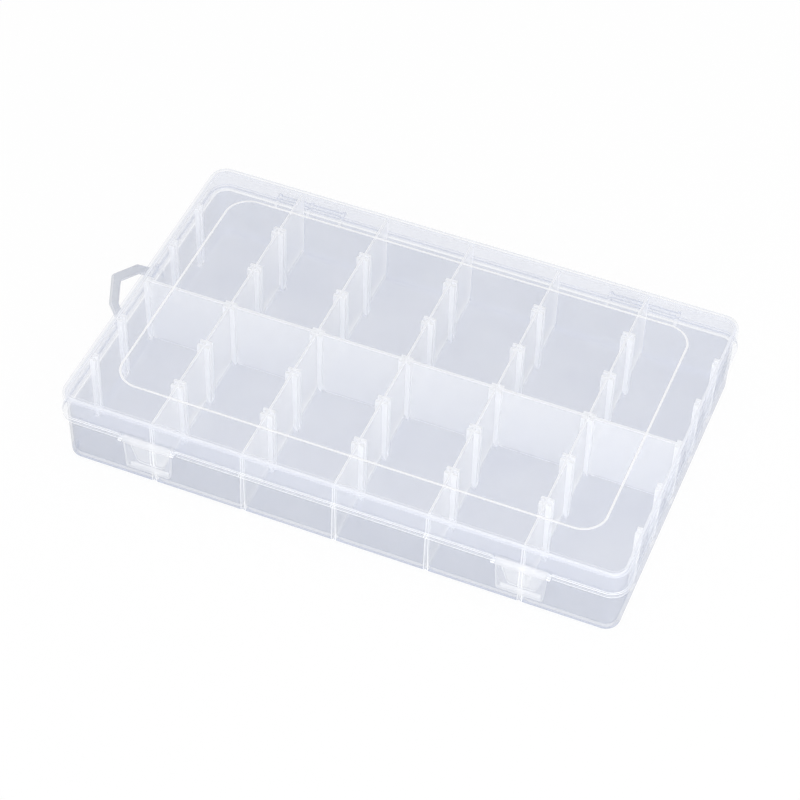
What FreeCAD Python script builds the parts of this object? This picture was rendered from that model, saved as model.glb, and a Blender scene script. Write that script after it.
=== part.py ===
import FreeCAD
import Part
import Sketcher
import math
import os
import re

# A translucent moulded compartment box with a hinged lid, six loose dividers, two front latches
# and a hanging loop. Lengths are in millimetres and angles in degrees. X runs along the box with
# the loop at its low end, Y runs from the latches to the hinges, and Z is up from the table.

SIZES = [
    # Lid
    ("lid_length", 275.0, "length over the lid's bottom lip"),
    ("lid_depth", 175.5, "depth over the lid's bottom lip"),
    ("lid_top", 41.3, "height of the lid's flat top"),
    ("corner_radius", 9.0, "plan radius of the lip's corners"),
    ("lid_wall", 1.2, "thickness of the skirt"),
    ("lid_plate", 1.3, "thickness of the flat top"),
    ("lid_draft", 0.9, "draft of the skirt's outside"),
    ("lid_edge_round", 2.0, "radius of the top outer edge"),
    ("lid_inner_round", 0.9, "radius inside the top edge"),
    ("lip_height", 1.1, "height of the lip round the skirt's bottom"),
    ("lip_proud", 0.5, "how far the lip stands out of the skirt"),
    ("lid_gap", 0.2, "gap between the closed lid and the ledge"),
    ("bead_inset", 19.5, "lip's outside to the middle of the bead"),
    ("bead_width", 1.4, "width of the raised bead on the top"),
    ("bead_height", 0.5, "height of the bead"),
    ("bead_radius", 12.0, "plan radius of the bead's corners"),
    # Tray
    ("tray_top", 39.55, "height of the walls and partitions"),
    ("tray_wall", 1.25, "thickness of the outer walls"),
    ("tray_clearance", 0.35, "gap between the lid's inside and the walls' top"),
    ("draft", 0.85, "draft of the walls and partitions"),
    ("floor_thickness", 1.3, "thickness of the floor"),
    ("floor_round", 4.0, "radius where the floor meets the walls"),
    ("foot_round", 3.0, "radius of the outer bottom edge"),
    ("groove_radius", 5.6, "radius of the pans' edges beside a groove"),
    ("partition_top", 0.9, "thickness of a partition at its top"),
    ("columns", 6, "number of long compartments"),
    ("ledge_top", 28.0, "height of the ledge that the lid closes on"),
    ("ledge_thickness", 1.2, "thickness of the ledge"),
    # Slots and dividers
    ("slot_rows", 5, "slots along each partition"),
    ("rib_proud", 2.6, "how far a slot rib stands out at its top"),
    ("rib_thickness", 1.4, "thickness of a slot rib"),
    ("rib_drop", 0.5, "ribs' top below the partitions' top"),
    ("divider_thickness", 1.3, "thickness of a divider"),
    ("slot_clearance", 0.2, "play on each face of a divider"),
    ("divider_gap", 0.3, "gap at each end of a divider"),
    ("divider_drop", 0.4, "dividers' top below the partitions' top"),
    # Rear hinges
    ("hinge_offset", 87.5, "middle of a hinge from the box's middle"),
    ("hinge_back", 2.9, "hinge axis behind the lip"),
    ("hinge_drop", 0.4, "hinge axis below the ledge's top"),
    ("ear_span", 34.4, "distance between a hinge's outer ears"),
    ("ears", 3, "ears on each hinge"),
    ("ear_thickness", 1.6, "thickness of an ear"),
    ("ear_radius", 2.2, "radius of an ear round the rod"),
    ("ear_foot", 5.2, "foot of an ear below the ledge's top"),
    ("rod_radius", 1.3, "radius of the hinge rod"),
    ("clip_width", 10.5, "width of a lid clip"),
    ("clip_wall", 1.2, "thickness of a clip round the rod"),
    ("clip_wrap", 60.0, "how far a clip wraps below the rod's level"),
    ("running_clearance", 0.05, "radial play of pins and rods"),
    # Front latches
    ("latch_offset", 90.5, "middle of a latch from the box's middle"),
    ("latch_out", 0.85, "latch axis in front of the lip"),
    ("latch_height", 29.0, "height of the latch axis"),
    ("barrel_radius", 1.8, "radius of the latch's barrel"),
    ("barrel_length", 24.2, "length of the latch's barrel"),
    ("latch_pin_radius", 0.9, "radius of the latch's end pins"),
    ("plate_thickness", 1.4, "thickness of the latch plate"),
    ("plate_foot", 11.3, "height of the plate's lower edge"),
    ("plate_foot_width", 22.2, "width of the plate's lower edge"),
    ("plate_corner", 1.6, "radius of the plate's lower corners"),
    ("hook_height", 1.5, "height of the hook behind the plate's foot"),
    ("hook_lead", 0.5, "upright part of the hook's tip"),
    ("hook_clearance", 0.25, "gap between the hook and the catch"),
    ("lug_thickness", 1.5, "thickness of a latch lug on the lid"),
    ("lug_radius", 2.2, "radius of a latch lug"),
    ("lug_gap", 0.15, "play beside a lug"),
    ("window_gap", 0.3, "gap round the barrel in the skirt"),
    ("catch_proud", 1.3, "how far a catch stands out of the tray's foot"),
    ("catch_foot", 13.2, "height of a catch's lower edge"),
    ("catch_top_width", 22.4, "width of a catch under the ledge"),
    ("catch_waist_width", 14.2, "width of a catch above its round corners"),
    ("catch_foot_width", 10.6, "width of a catch's lower edge"),
    ("catch_corner", 1.9, "height of a catch's round corners"),
    ("catch_round", 2.6, "radius of a catch's lower corners"),
    # Hanging loop
    ("loop_out", 1.9, "loop axis outside the lip"),
    ("loop_height", 25.8, "height of the loop axis"),
    ("loop_tilt", 36.0, "rise of the loop as photographed"),
    ("loop_shoulder", 8.8, "axis to the loop's shoulders"),
    ("loop_apex", 15.7, "axis to the loop's peak"),
    ("loop_half_width", 14.6, "middle to the loop's shoulders"),
    ("loop_flare", 5.7, "how much wider each arm's root is"),
    ("loop_strap", 4.6, "width of the loop's strap"),
    ("loop_thickness", 2.0, "thickness of the loop's strap"),
    ("loop_round", 2.0, "radius of the loop's outer corners"),
    ("loop_inner_round", 1.0, "radius of the loop's inner corners"),
    ("loop_bevel", 0.45, "bevel of the strap's edges"),
    ("loop_barrel_radius", 1.6, "radius of the arms' root barrels"),
    ("loop_pin_radius", 0.9, "radius of the loop's end pins"),
    ("loop_lug_thickness", 2.0, "thickness of a loop lug on the tray"),
    ("loop_lug_radius", 1.8, "radius of a loop lug"),
    ("loop_lug_foot", 4.6, "foot of a loop lug below the axis"),
    # Modelling
    ("overrun", 2.0, "how far a cut runs past what it cuts"),
]

# Places that follow from the sizes, each written once.
PLACES = {
    "lip_x": "lid_length / 2",
    "lip_y": "lid_depth / 2",
    "lid_bottom": "ledge_top + lid_gap",
    "lid_ceiling": "lid_top - lid_plate",
    "skirt_x": "lip_x - lip_proud",
    "skirt_y": "lip_y - lip_proud",
    "lid_inside_x": "skirt_x - lid_wall",
    "lid_inside_y": "skirt_y - lid_wall",
    "tray_x": "lid_inside_x - tray_clearance",
    "tray_y": "lid_inside_y - tray_clearance",
    "tray_corner": "corner_radius - lip_proud - lid_wall - tray_clearance",
    "slope": "tan(draft)",
    "foot_x": "tray_x - tray_top * slope",
    "foot_y": "tray_y - tray_top * slope",
    "room_x": "tray_x - tray_wall",
    "room_y": "tray_y - tray_wall",
    "column_width": "(2 * room_x - (columns - 1) * partition_top) / columns",
    "column_pitch": "column_width + partition_top",
    "column_depth": "tray_top - floor_thickness",
    "narrowing": "column_depth * slope",
    "first_column": "-room_x + column_width / 2",
    "first_partition": "-room_x + column_width + partition_top / 2",
    "partition_foot": "partition_top / 2 + narrowing",
    "slot_pitch": "2 * room_y / (slot_rows + 1)",
    "slot_width": "divider_thickness + 2 * slot_clearance",
    "rib_shift": "(slot_width + rib_thickness) / 2",
    "first_row": "-slot_pitch * (slot_rows - 1) / 2",
    "hinge_y": "lip_y + hinge_back",
    "hinge_z": "ledge_top - hinge_drop",
    "clip_bore": "rod_radius + running_clearance",
    "clip_radius": "clip_bore + clip_wall",
    "clip_rise": "lid_bottom - hinge_z",
    "latch_y": "lip_y + latch_out",
    "knuckle_half": "barrel_length / 2 + lug_gap + lug_thickness",
    "catch_face": "foot_y + catch_proud",
    "catch_root": "foot_y - tray_wall / 4",
    "plate_back": "latch_y - plate_thickness / 2",
    "hook_top": "plate_foot + hook_height",
    "hook_tip": "catch_face + hook_clearance",
    "loop_x": "lip_x + loop_out",
    "loop_root": "loop_half_width + loop_flare",
    "loop_lug_start": "loop_root + lug_gap",
}


def tied(expression):
    """The expression with its places spelled out and its sizes read from the sheet."""
    def word(match):
        name = match.group()
        if name in PLACES:
            return "(" + tied(PLACES[name]) + ")"
        return "Sizes." + name if name in ALIASES else name

    return re.sub(r"[a-z]\w*", word, expression)


def number(expression):
    """What an expression comes to now."""
    return float(sheet.evalExpression(tied(expression).replace("Sizes.", "")))


def make_sheet():
    """The sheet of driving sizes: name, value and what it is."""
    made = doc.addObject("Spreadsheet::Sheet", "Sizes")
    for row, (alias, value, note) in enumerate(SIZES, start=1):
        made.set(f"A{row}", alias)
        made.set(f"B{row}", str(value))
        made.setAlias(f"B{row}", alias)
        made.set(f"C{row}", note)
    doc.recompute()
    return made


def new_body(name):
    body = doc.addObject("PartDesign::Body", name)
    body.Label = name
    return body


def origin_feature(body, role):
    """One of a body's own planes or axes."""
    return next(f for f in body.Origin.OriginFeatures if f.Role == role)


def new_sketch(body, name, plane, height="0"):
    """A sketch on one of the body's planes, lifted along that plane's normal."""
    sketch = body.newObject("Sketcher::SketchObject", name)
    sketch.AttachmentSupport = (origin_feature(body, plane), [""])
    sketch.MapMode = "FlatFace"
    sketch.setExpression("AttachmentOffset.Base.z", tied(height))
    return sketch


def tie(sketch, constraint, expression):
    """Adds a dimension to a sketch and binds it to the sheet."""
    row = sketch.addConstraint(constraint)
    sketch.setExpression(f"Constraints[{row}]", tied(expression))


def pin_point(sketch, edge, end, place):
    """Holds a sketch point at a place given by two expressions."""
    for kind, expression in zip(("DistanceX", "DistanceY"), place):
        value = number(expression)
        if value < 0:
            constraint = Sketcher.Constraint(kind, edge, end, -1, 1, -value)
            tie(sketch, constraint, f"-({expression})")
        else:
            constraint = Sketcher.Constraint(kind, -1, 1, edge, end, value)
            tie(sketch, constraint, expression)


def arc_between(start, end, radius, side):
    """An arc of at most half a turn; side is +1 where it bends left on its way, and -1 right."""
    chord = end - start
    middle = (start + end) / 2
    rise = math.sqrt(max(radius ** 2 - (chord.Length / 2) ** 2, 0.0))
    left = FreeCAD.Vector(-chord.y, chord.x, 0).normalize()
    centre = middle + left * rise * side
    first, last = (start, end) if side > 0 else (end, start)
    angles = [math.atan2(p.y - centre.y, p.x - centre.x) for p in (first, last)]
    if angles[1] <= angles[0]:
        angles[1] += 2 * math.pi
    circle = Part.Circle(centre, FreeCAD.Vector(0, 0, 1), radius)
    return Part.ArcOfCircle(circle, *angles)


def ring(sketch, corners):
    """A closed outline. A corner is (x, y), or (x, y, radius, side) where an arc leaves it."""
    points = [FreeCAD.Vector(number(c[0]), number(c[1]), 0) for c in corners]
    ends = []
    for start, end, corner in zip(points, points[1:] + points[:1], corners):
        if len(corner) == 2:
            edge = sketch.addGeometry(Part.LineSegment(start, end), False)
            ends.append((edge, 1, 2))
        else:
            arc = arc_between(start, end, number(corner[2]), corner[3])
            edge = sketch.addGeometry(arc, False)
            ends.append((edge, 1, 2) if corner[3] > 0 else (edge, 2, 1))
    for (edge, _, last), (after, first, _) in zip(ends, ends[1:] + ends[:1]):
        sketch.addConstraint(Sketcher.Constraint("Coincident", edge, last, after, first))
    for (edge, first, _), corner in zip(ends, corners):
        pin_point(sketch, edge, first, corner[:2])
        if len(corner) > 2 and not half_turn(sketch, edge):
            tie(sketch, Sketcher.Constraint("Radius", edge, number(corner[2])), corner[2])
        elif len(corner) > 2:
            sketch.addConstraint(Sketcher.Constraint("Symmetric", edge, 1, edge, 2, edge, 3))


def half_turn(sketch, edge):
    """True for an arc of half a turn, whose ends already give its radius."""
    arc = sketch.Geometry[edge]
    return abs(arc.LastParameter - arc.FirstParameter - math.pi) < 1e-6


def circle(sketch, x, y, radius):
    """A circle whose middle and radius are expressions."""
    centre = FreeCAD.Vector(number(x), number(y), 0)
    edge = sketch.addGeometry(Part.Circle(centre, FreeCAD.Vector(0, 0, 1), number(radius)), False)
    pin_point(sketch, edge, 3, (x, y))
    tie(sketch, Sketcher.Constraint("Radius", edge, number(radius)), radius)


def rectangle(sketch, left, right, front, back):
    ring(sketch, [(left, front), (right, front), (right, back), (left, back)])


def round_rectangle(sketch, half_x, half_y, radius):
    """A rectangle with round corners, centred on the sketch's origin."""
    x, y, r = f"({half_x})", f"({half_y})", f"({radius})"
    ring(sketch, [
        (f"-{x} + {r}", f"-{y}"), (f"{x} - {r}", f"-{y}", radius, 1),
        (x, f"-{y} + {r}"), (x, f"{y} - {r}", radius, 1),
        (f"{x} - {r}", y), (f"-{x} + {r}", y, radius, 1),
        (f"-{x}", f"{y} - {r}"), (f"-{x}", f"-{y} + {r}", radius, 1),
    ])


def extrude(kind, body, name, sketch, length, middle=False, back=False, taper="0"):
    """A pad or pocket of a sketch, about it where middle is set, or else to one side."""
    sketch.Visibility = False
    feature = body.newObject("PartDesign::" + kind, name)
    feature.Profile = sketch
    feature.setExpression("Length", tied(length))
    feature.setExpression("TaperAngle", tied(taper))
    feature.SideType = "Symmetric" if middle else "One side"
    feature.Reversed = back
    before = body.Shape.Volume if not body.Shape.isNull() else 0.0
    doc.recompute()
    change = feature.Shape.Volume - before
    if (kind == "Pad") != (change > 0):
        raise RuntimeError(f"{name} of {body.Label} changes nothing")
    return feature


def pad(body, name, sketch, length, **how):
    return extrude("Pad", body, name, sketch, length, **how)


def pocket(body, name, sketch, length, **how):
    return extrude("Pocket", body, name, sketch, length, **how)


def repeat(body, feature, axis, pitch, count, axis2=None, pitch2="0", count2="1"):
    """A row of copies of a feature, or a grid where a second axis is given."""
    pattern = body.newObject("PartDesign::LinearPattern", feature.Name + "Row")
    pattern.Originals = [feature]
    pattern.Direction = (origin_feature(body, axis), [""])
    pattern.setExpression("Length", tied(f"({pitch}) * ({count} - 1)"))
    pattern.setExpression("Occurrences", tied(count))
    if axis2:
        pattern.Direction2 = (origin_feature(body, axis2), [""])
        pattern.setExpression("Length2", tied(f"({pitch2}) * ({count2} - 1)"))
        pattern.setExpression("Occurrences2", tied(count2))
    body.Tip = pattern
    doc.recompute()
    return pattern


def dress(kind, body, name, radius, chosen):
    """Fillets or chamfers the edges of the body's tip that the test chooses."""
    base = body.Tip
    edges = [f"Edge{i}" for i, e in enumerate(base.Shape.Edges, start=1) if chosen(e)]
    if not edges:
        raise RuntimeError(f"{name} of {body.Label} finds no edge")
    feature = body.newObject("PartDesign::" + kind, name)
    feature.Base = (base, edges)
    feature.setExpression("Radius" if kind == "Fillet" else "Size", tied(radius))
    doc.recompute()
    return feature


NEAR = 1e-4


def level(height):
    """Chooses edges that lie wholly at one height."""
    z = number(height)
    return lambda e: abs(e.BoundBox.ZMin - z) < NEAR and abs(e.BoundBox.ZMax - z) < NEAR


def upright(e):
    """Chooses straight edges that climb more than they run."""
    if len(e.Vertexes) < 2:
        return False
    run = e.Vertexes[-1].Point - e.Vertexes[0].Point
    return abs(run.z) > abs(run.x) + abs(run.y) and abs(run.Length - e.Length) < NEAR


def make_tray():
    """Pans, walls and partitions, with what the lid, dividers, latches and loop work against."""
    body = new_body("base_tray")

    plan = new_sketch(body, "TrayPlan", "XY_Plane")
    rectangle(plan, "-foot_x", "foot_x", "-foot_y", "foot_y")
    pad(body, "TrayBlock", plan, "tray_top", taper="draft")

    plan = new_sketch(body, "ColumnPlan", "XY_Plane", "tray_top")
    rectangle(plan, "-room_x", "-room_x + column_width", "-room_y", "room_y")
    column = pocket(body, "Column", plan, "column_depth", taper="-draft")
    repeat(body, column, "X_Axis", "column_pitch", "columns")
    room_x, room_y, lean = number("room_x"), number("room_y"), number("narrowing")

    def outside(e):
        """The four outer corners."""
        middle = e.BoundBox.Center
        return upright(e) and abs(middle.x) > room_x and abs(middle.y) > room_y

    def end_corner(e):
        """The four inner corners of the end walls."""
        middle = e.BoundBox.Center
        near_end = room_x - lean < abs(middle.x) < room_x
        return upright(e) and near_end and room_y - lean < abs(middle.y) < room_y

    dress("Fillet", body, "RoomCorners", "tray_corner - tray_wall", end_corner)
    dress("Fillet", body, "FloorRound", "floor_round", level("floor_thickness"))
    dress("Fillet", body, "TrayCorners", "tray_corner", outside)
    dress("Fillet", body, "TrayFoot", "foot_round", level("0"))

    plan = new_sketch(body, "LedgePlan", "XY_Plane", "ledge_top - ledge_thickness")
    round_rectangle(plan, "lip_x", "lip_y", "corner_radius")
    sink = "tray_wall / 2"
    round_rectangle(plan, f"tray_x - {sink}", f"tray_y - {sink}", f"tray_corner - {sink}")
    pad(body, "Ledge", plan, "ledge_thickness")

    add_hinge_ears(body)
    add_catches(body)
    add_loop_lugs(body)
    add_ribs(body)
    cut_grooves(body)
    return body


def rib_side(sketch, wall, way):
    """One rib seen along the column: wall is the face that it stands on, way is towards the room."""
    foot = f"{wall} {way} narrowing"
    tip = f"{wall} {way} rib_proud"
    sink = f"{wall} - ({way} tray_wall / 3)"
    bend = f"{foot} {way} floor_thickness / 3"
    ring(sketch, [
        (sink, "tray_top - rib_drop"),
        (tip, "tray_top - rib_drop"),
        (tip, "floor_thickness / 2"),
        (bend, "floor_thickness * 4 / 3"),
        (f"{foot} - ({way} tray_wall / 3)", "floor_thickness + floor_round"),
    ])


def add_ribs(body):
    """Pairs of upright ribs that hold a divider, on both sides of every column."""
    for name, shift in (("FrontRib", "-rib_shift"), ("RearRib", "rib_shift")):
        side = new_sketch(body, name + "Side", "XZ_Plane", f"-(first_row + {shift})")
        rib_side(side, "-room_x", "+")
        rib_side(side, "(-room_x + column_width)", "-")
        rib = pad(body, name, side, "rib_thickness", middle=True)
        repeat(body, rib, "Y_Axis", "slot_pitch", "slot_rows", "X_Axis", "column_pitch", "columns")


def cut_grooves(body):
    """The grooves under the partitions, where the rounded pans meet."""
    side = new_sketch(body, "GrooveSide", "XZ_Plane")
    reach = "(partition_foot + floor_round)"
    peak = f"groove_radius - sqrt(groove_radius ^ 2 - {reach} ^ 2)"
    ring(side, [
        (f"first_partition - {reach}", "0"),
        (f"first_partition + {reach}", "0", "groove_radius", -1),
        ("first_partition", peak, "groove_radius", -1),
    ])
    groove = pocket(body, "Groove", side, "lid_depth + overrun", middle=True)
    repeat(body, groove, "X_Axis", "column_pitch", "columns - 1")


def add_hinge_ears(body):
    """Two rear hinges: ears on gussets under the ledge, with a rod through each set."""
    wall = "tray_y - tray_wall / 2"
    side = new_sketch(body, "EarSide", "YZ_Plane", "-hinge_offset - ear_span / 2")
    ring(side, [
        (wall, "hinge_z"),
        ("hinge_y - ear_radius", "hinge_z", "ear_radius", -1),
        ("hinge_y + ear_radius", "hinge_z", "ear_radius", -1),
        ("hinge_y", "hinge_z - ear_radius"),
        (wall, "ledge_top - ear_foot"),
    ])
    ear = pad(body, "Ear", side, "ear_thickness", middle=True)
    repeat(body, ear, "X_Axis", "ear_span / (ears - 1)", "ears", "X_Axis", "2 * hinge_offset", "2")
    side = new_sketch(body, "RodSide", "YZ_Plane", "-hinge_offset")
    circle(side, "hinge_y", "hinge_z", "rod_radius")
    rod = pad(body, "Rod", side, "ear_span", middle=True)
    repeat(body, rod, "X_Axis", "2 * hinge_offset", "2")


def add_catches(body):
    """The raised catches that the latches hook under, and the ledge cut back above them."""
    front = new_sketch(body, "CatchFront", "XZ_Plane", "catch_root")
    waist = "catch_foot + catch_corner"
    middle = "-latch_offset"
    ring(front, [
        (f"{middle} - catch_top_width / 2", "ledge_top - ledge_thickness / 2"),
        (f"{middle} - catch_waist_width / 2", waist, "catch_round", 1),
        (f"{middle} - catch_foot_width / 2", "catch_foot"),
        (f"{middle} + catch_foot_width / 2", "catch_foot", "catch_round", 1),
        (f"{middle} + catch_waist_width / 2", waist),
        (f"{middle} + catch_top_width / 2", "ledge_top - ledge_thickness / 2"),
    ])
    catch = pad(body, "Catch", front, "catch_face - catch_root")
    repeat(body, catch, "X_Axis", "2 * latch_offset", "2")
    plan = new_sketch(body, "NotchPlan", "XY_Plane", "ledge_top")
    half = "(knuckle_half + window_gap)"
    rectangle(plan, f"{middle} - {half}", f"{middle} + {half}", "-lip_y - overrun", "-tray_y")
    notch = pocket(body, "Notch", plan, "ledge_thickness")
    repeat(body, notch, "X_Axis", "2 * latch_offset", "2")


def add_loop_lugs(body):
    """Two lugs on the left end, bored for the hanging loop's pins."""
    wall = "-tray_x + tray_wall / 2"
    side = new_sketch(body, "LoopLugSide", "XZ_Plane", "loop_lug_start + loop_lug_thickness / 2")
    ring(side, [
        (wall, "loop_height + loop_lug_radius"),
        ("-loop_x", "loop_height + loop_lug_radius", "loop_lug_radius", 1),
        ("-loop_x", "loop_height - loop_lug_radius"),
        (wall, "loop_height - loop_lug_foot"),
    ])
    lug = pad(body, "LoopLug", side, "loop_lug_thickness", middle=True)
    repeat(body, lug, "Y_Axis", "2 * loop_lug_start + loop_lug_thickness", "2")
    side = new_sketch(body, "LoopBoreSide", "XZ_Plane")
    circle(side, "-loop_x", "loop_height", "loop_pin_radius + running_clearance")
    reach = "2 * (loop_lug_start + loop_lug_thickness + overrun)"
    pocket(body, "LoopBore", side, reach, middle=True)


def make_lid():
    """A shallow cap with a beaded top, clips round the hinge rods and lugs for the latches."""
    body = new_body("lid")

    plan = new_sketch(body, "SkirtPlan", "XY_Plane", "lid_bottom")
    rectangle(plan, "-skirt_x", "skirt_x", "-skirt_y", "skirt_y")
    pad(body, "Skirt", plan, "lid_top - lid_bottom", taper="-lid_draft")
    dress("Fillet", body, "SkirtCorners", "corner_radius - lip_proud", upright)
    dress("Fillet", body, "TopEdge", "lid_edge_round", level("lid_top"))

    plan = new_sketch(body, "LipPlan", "XY_Plane", "lid_bottom")
    round_rectangle(plan, "lip_x", "lip_y", "corner_radius")
    pad(body, "Lip", plan, "lip_height")

    plan = new_sketch(body, "InsidePlan", "XY_Plane", "lid_bottom")
    inner_corner = "corner_radius - lip_proud - lid_wall"
    round_rectangle(plan, "lid_inside_x", "lid_inside_y", inner_corner)
    pocket(body, "Inside", plan, "lid_ceiling - lid_bottom", back=True)
    dress("Fillet", body, "InsideEdge", "lid_inner_round", level("lid_ceiling"))

    plan = new_sketch(body, "BeadPlan", "XY_Plane", "lid_top - lid_plate / 2")
    for shift in ("+ bead_width / 2", "- bead_width / 2"):
        half_x = f"lip_x - bead_inset {shift}"
        half_y = f"lip_y - bead_inset {shift}"
        round_rectangle(plan, half_x, half_y, f"bead_radius {shift}")
    pad(body, "Bead", plan, "lid_plate / 2 + bead_height")
    dress("Fillet", body, "BeadRound", "bead_height * 2 / 3", level("lid_top + bead_height"))

    add_clips(body)
    add_latch_lugs(body)
    return body


def add_clips(body):
    """Open clips that snap over the hinge rods between the ears."""
    wall = "lip_y - lip_proud - lid_wall / 2"
    side = new_sketch(body, "ClipSide", "YZ_Plane", "-hinge_offset - ear_span / 4")
    ring(side, [
        (wall, "lid_bottom"),
        ("hinge_y - sqrt(clip_bore ^ 2 - clip_rise ^ 2)", "lid_bottom", "clip_bore", -1),
        ("hinge_y", "hinge_z + clip_bore", "clip_bore", -1),
        ("hinge_y + clip_bore * cos(clip_wrap)", "hinge_z - clip_bore * sin(clip_wrap)"),
        ("hinge_y + clip_radius * cos(clip_wrap)", "hinge_z - clip_radius * sin(clip_wrap)",
         "clip_radius", 1),
        ("hinge_y", "hinge_z + clip_radius"),
        (wall, "hinge_z + clip_radius"),
    ])
    clip = pad(body, "Clip", side, "clip_width", middle=True)
    repeat(body, clip, "X_Axis", "ear_span / 2", "2", "X_Axis", "2 * hinge_offset", "2")


def add_latch_lugs(body):
    """Lugs that hold each latch by its end pins, and a window in the skirt for its barrel."""
    front = new_sketch(body, "WindowFront", "XZ_Plane", "lip_y + overrun")
    half = "(barrel_length / 2 + lug_gap)"
    rectangle(front, f"-latch_offset - {half}", f"-latch_offset + {half}",
              "lid_bottom - overrun", "latch_height + barrel_radius + window_gap")
    window = pocket(body, "Window", front, "lip_proud + lid_wall + overrun * 3 / 2")
    repeat(body, window, "X_Axis", "2 * latch_offset", "2")

    wall = "-skirt_y + lid_wall / 2"
    start = "-latch_offset - knuckle_half + lug_thickness / 2"
    side = new_sketch(body, "LugSide", "YZ_Plane", start)
    ring(side, [
        (wall, "latch_height + lug_radius"),
        ("-latch_y", "latch_height + lug_radius", "lug_radius", 1),
        ("-latch_y", "latch_height - lug_radius"),
        (wall, "lid_bottom"),
    ])
    lug = pad(body, "Lug", side, "lug_thickness", middle=True)
    pitch = "2 * knuckle_half - lug_thickness"
    repeat(body, lug, "X_Axis", pitch, "2", "X_Axis", "2 * latch_offset", "2")
    side = new_sketch(body, "LugBoreSide", "YZ_Plane")
    circle(side, "-latch_y", "latch_height", "latch_pin_radius + running_clearance")
    pocket(body, "LugBore", side, "2 * (latch_offset + knuckle_half + overrun)", middle=True)


def make_divider(index):
    """A loose plate that drops into a pair of facing slots and rests on the floor."""
    body = new_body(f"divider_{index + 1}")
    middle = f"(first_column + {index} * column_pitch)"
    top = "tray_top - divider_drop"
    corner = "(floor_round + divider_gap)"
    bend = f"floor_thickness + {corner}"

    def half(height):
        """Half the plate's width at a height, between the drafted partitions."""
        return f"(column_width / 2 - divider_gap - (tray_top - ({height})) * slope)"

    front = new_sketch(body, "Front", "XZ_Plane")
    ring(front, [
        (f"{middle} + {half(top)}", top),
        (f"{middle} - {half(top)}", top),
        (f"{middle} - {half(bend)}", bend, corner, 1),
        (f"{middle} - {half(bend)} + {corner}", "floor_thickness"),
        (f"{middle} + {half(bend)} - {corner}", "floor_thickness", corner, 1),
        (f"{middle} + {half(bend)}", bend),
    ])
    pad(body, "Plate", front, "divider_thickness", middle=True)
    return body


def make_latch(name, middle):
    """A snap latch: a barrel with end pins, and a tapered plate with a hook behind its foot."""
    body = new_body(name)
    side = new_sketch(body, "BarrelSide", "YZ_Plane", middle)
    circle(side, "-latch_y", "latch_height", "barrel_radius")
    pad(body, "Barrel", side, "barrel_length", middle=True)

    front = new_sketch(body, "PlateFront", "XZ_Plane", "plate_back")
    corner = "plate_corner"
    ring(front, [
        (f"{middle} + barrel_length / 2", "latch_height"),
        (f"{middle} - barrel_length / 2", "latch_height"),
        (f"{middle} - plate_foot_width / 2", f"plate_foot + {corner}", corner, 1),
        (f"{middle} - plate_foot_width / 2 + {corner}", "plate_foot"),
        (f"{middle} + plate_foot_width / 2 - {corner}", "plate_foot", corner, 1),
        (f"{middle} + plate_foot_width / 2", f"plate_foot + {corner}"),
    ])
    pad(body, "Plate", front, "plate_thickness")

    side = new_sketch(body, "HookSide", "YZ_Plane", middle)
    ring(side, [
        ("-latch_y", "hook_top"),
        ("-latch_y", "plate_foot"),
        ("-plate_back", "plate_foot"),
        ("-hook_tip", "hook_top - hook_lead"),
        ("-hook_tip", "hook_top"),
    ])
    pad(body, "Hook", side, "plate_foot_width - 2 * plate_corner", middle=True)

    side = new_sketch(body, "PinSide", "YZ_Plane", middle)
    circle(side, "-latch_y", "latch_height", "latch_pin_radius")
    pad(body, "Pins", side, "2 * knuckle_half", middle=True)
    return body


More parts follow.
